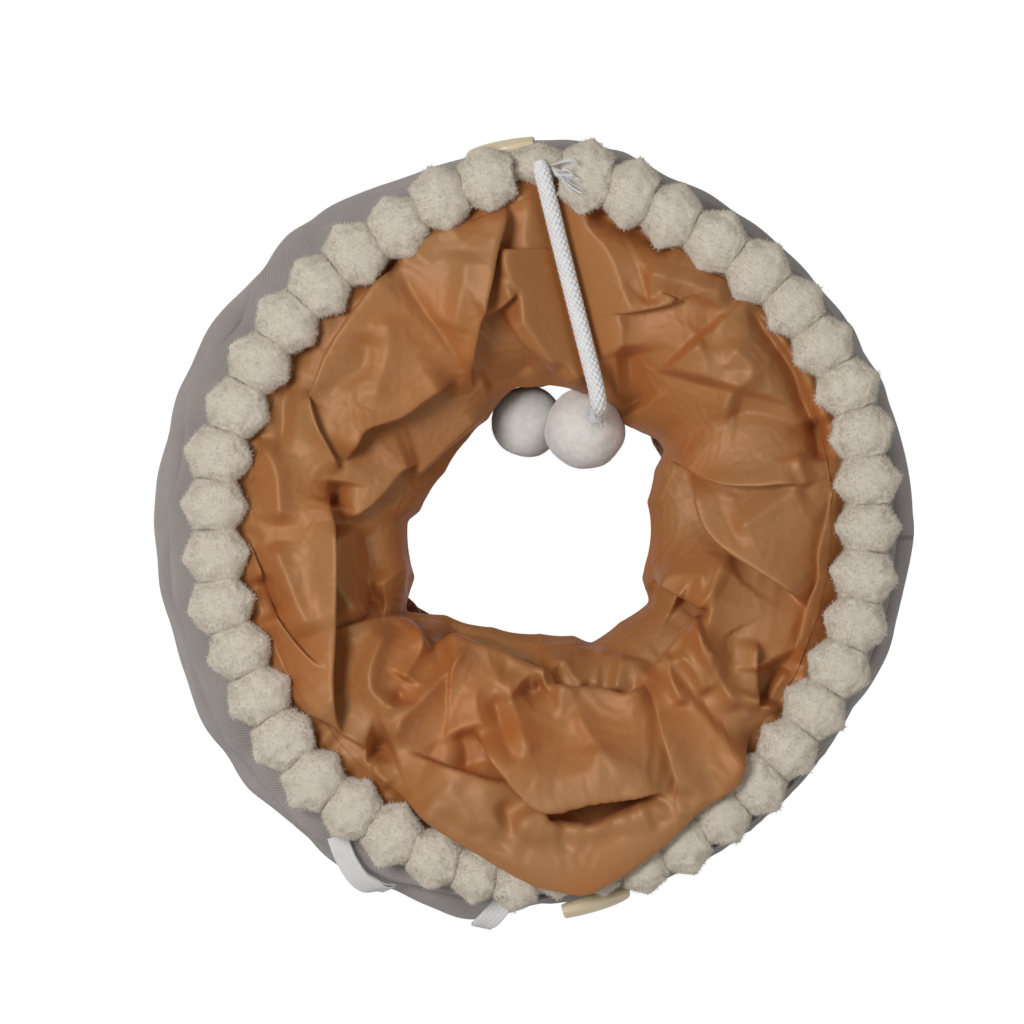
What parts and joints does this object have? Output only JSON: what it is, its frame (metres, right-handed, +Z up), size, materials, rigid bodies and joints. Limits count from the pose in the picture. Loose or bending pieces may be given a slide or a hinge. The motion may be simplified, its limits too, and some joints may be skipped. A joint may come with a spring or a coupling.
{
  "type": "cat tunnel",
  "caption": "Collapsible fabric cat tunnel folded flat: steel hoops in a twill cover with a taffeta lining, pompom trim round both ends, toggles, elastic loops and a rope with felt balls.",
  "frame": {"origin": "on the floor under the middle of the folded tunnel, which stands on its far end", "axes": "+Z up along the tunnel's own axis, from the far end to the near end; +Y towards the place where the rope is sewn to the near rim; +X to the right of it, seen from above"},
  "size_m": [0.3002, 0.3116, 0.1281],
  "materials": {
    "spring_steel": "drawn spring steel wire",
    "cover_twill": "grey-taupe cotton twill",
    "lining_taffeta": "copper taffeta with a soft gloss",
    "trim_tape": "woven off-white tape",
    "pompom_plush": "cream plush",
    "toggle_horn": "pale horn-like plastic, satin",
    "toggle_cord": "brown waxed cord",
    "loop_elastic": "woven white elastic",
    "rope_cotton": "white braided cotton",
    "ball_felt": "off-white wool felt"
  },
  "bodies": {
    "far_end": {"hoop_wire_6": "spring_steel", "hoop_sleeve_6": "spring_steel", "hoop_casing_6": "cover_twill", "far_trim_tape": "trim_tape", "far_pompoms": "pompom_plush"},
    "hoop_5": {"hoop_wire_5": "spring_steel", "hoop_sleeve_5": "spring_steel", "hoop_casing_5": "cover_twill", "cover_panel_5": "cover_twill", "lining_panel_5": "lining_taffeta"},
    "hoop_4": {"hoop_wire_4": "spring_steel", "hoop_sleeve_4": "spring_steel", "hoop_casing_4": "cover_twill", "cover_panel_4": "cover_twill", "lining_panel_4": "lining_taffeta"},
    "hoop_3": {"hoop_wire_3": "spring_steel", "hoop_sleeve_3": "spring_steel", "hoop_casing_3": "cover_twill", "cover_panel_3": "cover_twill", "lining_panel_3": "lining_taffeta"},
    "hoop_2": {"hoop_wire_2": "spring_steel", "hoop_sleeve_2": "spring_steel", "hoop_casing_2": "cover_twill", "cover_panel_2": "cover_twill", "lining_panel_2": "lining_taffeta"},
    "near_end": {"hoop_wire_1": "spring_steel", "hoop_sleeve_1": "spring_steel", "hoop_casing_1": "cover_twill", "cover_panel_1": "cover_twill", "lining_panel_1": "lining_taffeta", "near_trim_tape": "trim_tape", "near_pompoms": "pompom_plush", "toy_rope": "rope_cotton", "felt_ball_front": "ball_felt", "felt_ball_rear": "ball_felt"},
    "toggle_1": {"toggle_1": "toggle_horn", "toggle_cord_1": "toggle_cord"},
    "toggle_2": {"toggle_2": "toggle_horn", "toggle_cord_2": "toggle_cord"},
    "loop_a": {"elastic_loop_a": "loop_elastic"},
    "loop_b": {"elastic_loop_b": "loop_elastic"}
  },
  "joints": [
    {"name": "extend_5", "type": "slide", "parent": "far_end", "child": "hoop_5", "axis": [0, 0, 1], "range_m": [0, 0.154]},
    {"name": "extend_4", "type": "slide", "parent": "hoop_5", "child": "hoop_4", "axis": [0, 0, 1], "range_m": [0, 0.154]},
    {"name": "extend_3", "type": "slide", "parent": "hoop_4", "child": "hoop_3", "axis": [0, 0, 1], "range_m": [0, 0.154]},
    {"name": "extend_2", "type": "slide", "parent": "hoop_3", "child": "hoop_2", "axis": [0, 0, 1], "range_m": [0, 0.154]},
    {"name": "extend_1", "type": "slide", "parent": "hoop_2", "child": "near_end", "axis": [0, 0, 1], "range_m": [0, 0.154]},
    {"name": "toggle_1_pull", "type": "slide", "parent": "near_end", "child": "toggle_1", "axis": [0, 1, 0], "range_m": [0, 0.012], "stiffness_N_per_m": 60},
    {"name": "toggle_2_pull", "type": "slide", "parent": "near_end", "child": "toggle_2", "axis": [0, -1, 0], "range_m": [0, 0.012], "stiffness_N_per_m": 60},
    {"name": "loop_a_lift", "type": "hinge", "parent": "near_end", "child": "loop_a", "pos_m": [-0.06002, -0.13171, 0.10885], "axis": [-0.91, 0.4147, 0], "range_deg": [0, 45]},
    {"name": "loop_b_lift", "type": "hinge", "parent": "near_end", "child": "loop_b", "pos_m": [-0.02023, -0.14395, 0.10885], "axis": [-0.9903, 0.1392, 0], "range_deg": [0, 45]}
  ],
  "couplings": [
    {"joint": "extend_4", "follows": "extend_5", "ratio": 1},
    {"joint": "extend_3", "follows": "extend_5", "ratio": 1},
    {"joint": "extend_2", "follows": "extend_5", "ratio": 1},
    {"joint": "extend_1", "follows": "extend_5", "ratio": 1}
  ]
}
